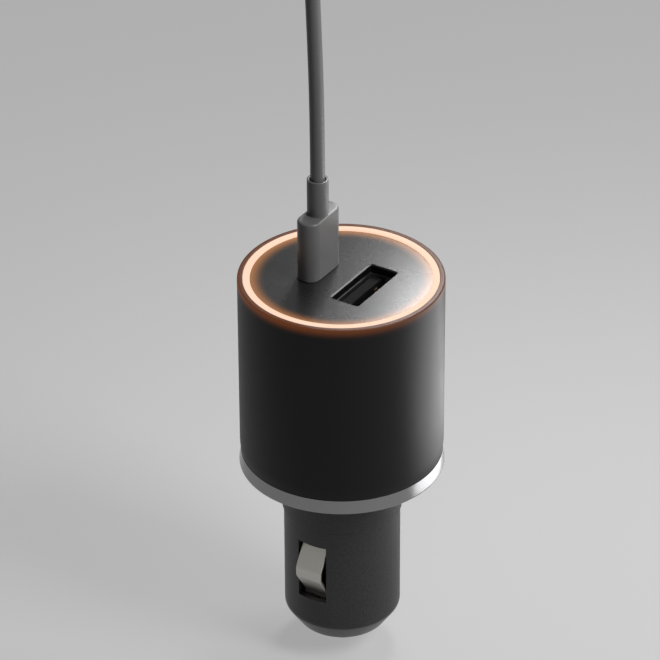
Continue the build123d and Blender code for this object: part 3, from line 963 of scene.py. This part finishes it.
    def build(self) -> None:
        """Builds and dresses the stem."""
        settle(self.arm("earth_arm_front", -1), ARM_NICKEL, Body.FRONT_ARM, "side_contact_front")
        settle(self.arm("earth_arm_rear", 1), ARM_NICKEL, Body.REAR_ARM, "side_contact_rear")
        settle(self.nose(), NOSE_BLACK, Body.CHARGER, "nose_cap")
        settle(self.centre_pin(), CONTACT_NICKEL, Body.PIN, "centre_contact")
        coil = settle(self.spring(), SPRING_STEEL, Body.CHARGER, "contact_spring")
        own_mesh(coil)
        dress(self.pieces)


@dataclass
class Lead:
    """USB-C lead: the plug in its port, the cord that rises from it and its far connector.

    Attributes:
        port: Middle of the plug's foot, just above the face.
        width: Width of the overmould.
        thickness: Thickness of the overmould.
        height: Height of the overmould.
        relief: Radius of the strain relief.
        relief_top: Height of the strain relief's top above the plug's foot.
        cord: Radius of the cord.
        cord_air: Air round the cord in the relief's mouth.
        cord_in: How deep the cord goes into the relief.
        route: Points of the cord's route, from its start in the relief.
        length: Length of the cord. Not used.
        foot_cut: Cut at the overmould's foot.
        top_cut: Cut at the overmould's top.
        relief_cut: Cut at the relief's top.
        mouth_cut: Cut at the relief's mouth.
        grip_columns: Points round the overmould.
        neck_columns: Points round the relief.
        cord_round: Bevel resolution of the cord's section.
        cord_steps: Steps along each stretch of the cord's route.
        pieces: Finish of each node that stays as it is.
    """

    port: tuple[float, float, float] = (-4.55 * MM, 0.0, 36.15 * MM)
    width: float = 9.3 * MM
    thickness: float = 4.2 * MM
    height: float = 11.1 * MM
    relief: float = 1.825 * MM
    relief_top: float = 17.65 * MM
    cord: float = 1.25 * MM
    cord_air: float = 0.15 * MM
    cord_in: float = 1.2 * MM
    route: tuple[tuple[float, float, float], ...] = (
        (0.0, 0.0, 0.0),
        (0.0, 0.0, 10.7 * MM),
        (-0.2 * MM, -0.12 * MM, 24.7 * MM),
        (-0.66 * MM, -0.44 * MM, 40.8 * MM),
    )
    length: float = 40.8 * MM
    foot_cut: float = 0.12 * MM
    top_cut: float = 0.45 * MM
    relief_cut: float = 0.12 * MM
    mouth_cut: float = 0.08 * MM
    grip_columns: int = 96
    neck_columns: int = 64
    cord_round: int = 10
    cord_steps: int = 16
    pieces: dict[str, Finish] = field(default_factory=lambda: {
        "plug_shell": PLUG_STEEL,
        "plug_insert": PORT_BLACK,
        "far_shell": PLUG_STEEL,
        "far_insert": PORT_BLACK,
    })

    def points(self) -> list[Vector]:
        """Points of the cord's route."""
        start = Vector(self.port) + Vector((0, 0, self.relief_top - self.cord_in))
        return [start + Vector(step) for step in self.route]

    def far_place(self) -> Matrix:
        """Where the far connector goes: on the cord's end, turned to face away from it.

        Returns:
            The place of its foot, as a matrix.
        """
        points = self.points()
        up = (points[-1] - points[-2]).normalized()
        side = (Vector((1, 0, 0)) - up * up.x).normalized()
        turn = Matrix((side, up.cross(side), up)).transposed().to_4x4()
        lift = Matrix.Translation((0, 0, self.relief_top - self.cord_in))
        return Matrix.Translation(points[-1]) @ turn @ lift @ Matrix.Rotation(math.pi, 4, "X")

    def grip(self, name: str, place: Matrix) -> bpy.types.Object:
        """Overmould: a full-round bar with eased ends.

        Args:
            name: Name of the piece.
            place: Where its foot goes.

        Returns:
            The object.
        """
        end = self.thickness / 2
        corners = [(0.0, 0.0), (end, 0.0), (end, self.height), (0.0, self.height)]
        profile = eased(corners, [0.0, self.foot_cut, self.top_cut, 0.0])
        straight = self.width - self.thickness
        return turned_piece(name, profile, False, straight, place, self.grip_columns)

    def neck(self, name: str, place: Matrix) -> bpy.types.Object:
        """Strain relief with a mouth that the cord goes into.

        Args:
            name: Name of the piece.
            place: Where the foot of its plug goes.

        Returns:
            The object.
        """
        mouth = self.cord + self.cord_air
        floor = self.relief_top - self.cord_in
        corners = [(0.0, self.height), (self.relief, self.height), (self.relief, self.relief_top),
                   (mouth, self.relief_top), (mouth, floor), (0.0, floor)]
        profile = eased(corners, [0.0, 0.0, self.relief_cut, self.mouth_cut, 0.0, 0.0])
        return turned_piece(name, profile, False, 0.0, place, self.neck_columns)

    def jacket(self) -> bpy.types.Object:
        """The cord as a smooth spline along its route.

        Returns:
            The curve object.
        """
        curve = bpy.data.curves.new("lead_cord", "CURVE")
        curve.dimensions = "3D"
        curve.bevel_depth = self.cord
        curve.bevel_resolution = self.cord_round
        curve.resolution_u = self.cord_steps
        curve.use_fill_caps = True
        points = self.points()
        spline = curve.splines.new("NURBS")
        spline.points.add(len(points) - 1)
        spline.points.foreach_set("co", np.array([(*p, 1.0) for p in points]).reshape(-1))
        spline.order_u = 3
        spline.use_endpoint_u = True
        piece = bpy.data.objects.new("lead_cord", curve)
        bpy.context.scene.collection.objects.link(piece)
        return piece

    def build(self) -> None:
        """Builds and dresses the lead."""
        near = Matrix.Translation(self.port)
        far = self.far_place()
        cord = settle(self.jacket(), LEAD_GREY, Body.CHARGER, "lead_cable")
        ends = [
            settle(self.grip("plug_grip", near), LEAD_GREY, Body.CHARGER, "plug_overmould"),
            settle(self.neck("plug_neck", near), LEAD_GREY, Body.CHARGER, "plug_relief"),
            settle(self.grip("far_grip", far), LEAD_GREY, Body.CHARGER, "far_overmould"),
            settle(self.neck("far_neck", far), LEAD_GREY, Body.CHARGER, "far_relief"),
        ]
        dress(self.pieces)
        ends += [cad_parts[name] for name in self.pieces]


def direction(azimuth: float, rise: float) -> Vector:
    """Direction towards an azimuth and a rise in degrees; azimuth 0 is -Y, and 90 is +X."""
    a, e = math.radians(azimuth), math.radians(rise)
    return Vector((math.sin(a) * math.cos(e), -math.cos(a) * math.cos(e), math.sin(e)))


@dataclass(frozen=True)
class Softbox:
    """A rectangular lamp, placed round the object from the camera's side.

    Attributes:
        name: Name of the lamp.
        turn: Degrees to the right of the camera.
        rise: Degrees above the object.
        distance: From the object.
        size: Width and height.
        watts: Power.
        aim: Height on the plug's axis that it stands opposite.
        tilt: Degrees that it is turned upwards from facing the axis.
        spread: Angle in degrees of the cone that its light stays in.
    """

    name: str
    turn: float
    rise: float
    distance: float
    size: tuple[float, float]
    watts: float
    aim: float = 20 * MM
    tilt: float = 0.0
    spread: float = 180.0

    def build(self, azimuth: float) -> None:
        """Adds the lamp.

        Args:
            azimuth: The camera's azimuth in degrees.
        """
        lamp = bpy.data.lights.new(self.name, "AREA")
        lamp.shape = "RECTANGLE"
        lamp.size, lamp.size_y = self.size
        lamp.energy = self.watts
        lamp.spread = math.radians(self.spread)
        at = bpy.data.objects.new(self.name, lamp)
        back = direction(azimuth + self.turn, self.rise)
        at.location = Vector((0, 0, self.aim)) + back * self.distance
        at.rotation_mode = "QUATERNION"
        facing = direction(azimuth + self.turn + 180.0, self.tilt - self.rise)
        at.rotation_quaternion = facing.to_track_quat("-Z", "Y")
        bpy.context.scene.collection.objects.link(at)
        LOG.info("lamp %s", self.name)


@dataclass
class Studio:
    """Floor, backdrop colour, lamps and camera.

    Attributes:
        floor_z: Height of the floor, just below the plug's tip.
        floor_middle: Radius of the floor's inner ring.
        floor_radius: Radius of the floor.
        floor_columns: Points round the floor.
        floor_tone: Colour of the floor under light.
        floor_lift: Light that it adds where the camera or a reflection sees it.
        backdrop: Colour far out and above.
        fade: Radii between which the floor turns into the backdrop's colour.
        ambient: Even light all round.
        azimuth: Degrees from -Y towards +X at which the camera stands.
        elevation: Degrees that it stands above its aim.
        roll: Degrees that it leans.
        distance: From its aim.
        aim: Where it looks: how far to the right of the axis, and at what height.
        focal_pixels: Focal length in pixels.
        image_pixels: Width of the picture in pixels.
        sensor: Width of the sensor in millimetres.
        clip: Nearest and farthest distance in view.
        lamps: The lamps.
    """

    floor_z: float = -37.02 * MM
    floor_middle: float = 1.0
    floor_radius: float = 6.0
    floor_columns: int = 96
    floor_tone: Colour = (0.2, 0.2, 0.2)
    floor_lift: Colour = (0.36, 0.36, 0.36)
    backdrop: Colour = (0.42, 0.42, 0.42)
    fade: tuple[float, float] = (0.9, 3.0)
    ambient: float = 0.08
    azimuth: float = 32.5
    elevation: float = 31.86
    roll: float = -0.32
    distance: float = 0.7
    aim: tuple[float, float] = (-1.93 * MM, 25.74 * MM)
    focal_pixels: float = 4144.0
    image_pixels: float = 660.0
    sensor: float = 36.0
    clip: tuple[float, float] = (0.01, 20.0)
    lamps: tuple[Softbox, ...] = (
        Softbox("key_softbox", turn=110.0, rise=28.0, distance=0.22, size=(0.08, 0.095), watts=0.18),
        Softbox("back_softbox", turn=160.5, rise=41.5, distance=0.107, size=(0.034, 0.034), watts=0.12,
                aim=36.1 * MM),
        Softbox("low_softbox", turn=110.0, rise=0.0, distance=0.08, size=(0.084, 0.05), watts=0.033,
                aim=-16.0 * MM, tilt=62.0, spread=125.0),
        Softbox("front_softbox", turn=57.0, rise=43.0, distance=0.4, size=(0.13, 0.2), watts=1.5),
    )

    def floor(self) -> None:
        """Pale round floor that takes shadows and turns into the backdrop's colour far out."""
        rings = np.array([(r, self.floor_z) for r in (0.0, self.floor_middle, self.floor_radius)])
        piece = turned_piece("floor", rings, False, columns=self.floor_columns)
        made = bpy.data.materials.new("floor_pale")
        made.use_nodes = True
        graph = Graph(made.node_tree)
        matt = graph.node("ShaderNodeBsdfDiffuse", {}, {"Color": rgba(self.floor_tone)})
        light = {"Color": rgba(self.floor_lift), "Strength": graph.seen()}
        lift = graph.node("ShaderNodeEmission", {}, light)
        near = graph.node("ShaderNodeAddShader", {}, {0: matt, 1: lift})
        far = graph.node("ShaderNodeEmission", {}, {"Color": rgba(self.backdrop)})
        share = graph.ease(graph.radius(), *self.fade)
        graph.surface(graph.node("ShaderNodeMixShader", {}, {0: share, 1: near, 2: far}))
        piece.data.materials.append(made)

    def world(self) -> None:
        """Even light all round, and the backdrop's colour where the camera or a reflection sees it."""
        made = bpy.data.worlds.new("studio")
        made.use_nodes = True
        bpy.context.scene.world = made
        graph = Graph(made.node_tree, "ShaderNodeOutputWorld")
        tone = graph.mix(graph.seen(), rgba((self.ambient,) * 3), rgba(self.backdrop))
        graph.surface(graph.node("ShaderNodeBackground", {}, {"Color": tone}))

    def camera(self) -> None:
        """Camera at the photograph's viewing angle, with its slight roll."""
        back = direction(self.azimuth, self.elevation)
        right = direction(self.azimuth + 90.0, 0.0)
        up = back.cross(right)
        roll = math.radians(self.roll)
        side = right * math.cos(roll) + up * math.sin(roll)
        top = up * math.cos(roll) - right * math.sin(roll)
        eye = right * self.aim[0] + Vector((0, 0, self.aim[1])) + back * self.distance
        data = bpy.data.cameras.new("camera")
        data.sensor_width = self.sensor
        data.lens = self.focal_pixels / self.image_pixels * self.sensor
        data.clip_start, data.clip_end = self.clip
        camera = bpy.data.objects.new("camera", data)
        turn = Matrix((side, top, back)).transposed().to_4x4()
        camera.matrix_world = Matrix.Translation(eye) @ turn
        bpy.context.scene.collection.objects.link(camera)
        bpy.context.scene.camera = camera

    def build(self) -> None:
        """Builds the studio."""
        bpy.context.scene.view_settings.view_transform = "Standard"
        self.floor()
        self.world()
        for lamp in self.lamps:
            lamp.build(self.azimuth)
        self.camera()


def main() -> None:
    """Builds the sub-assemblies in order, then the studio."""
    logging.basicConfig(level=logging.INFO, format="%(name)s: %(message)s")
    for assembly in (Head(), Ports(), Converter(), Stem(), Lead(), Studio()):
        assembly.build()


if __name__ == "__main__":
    main()
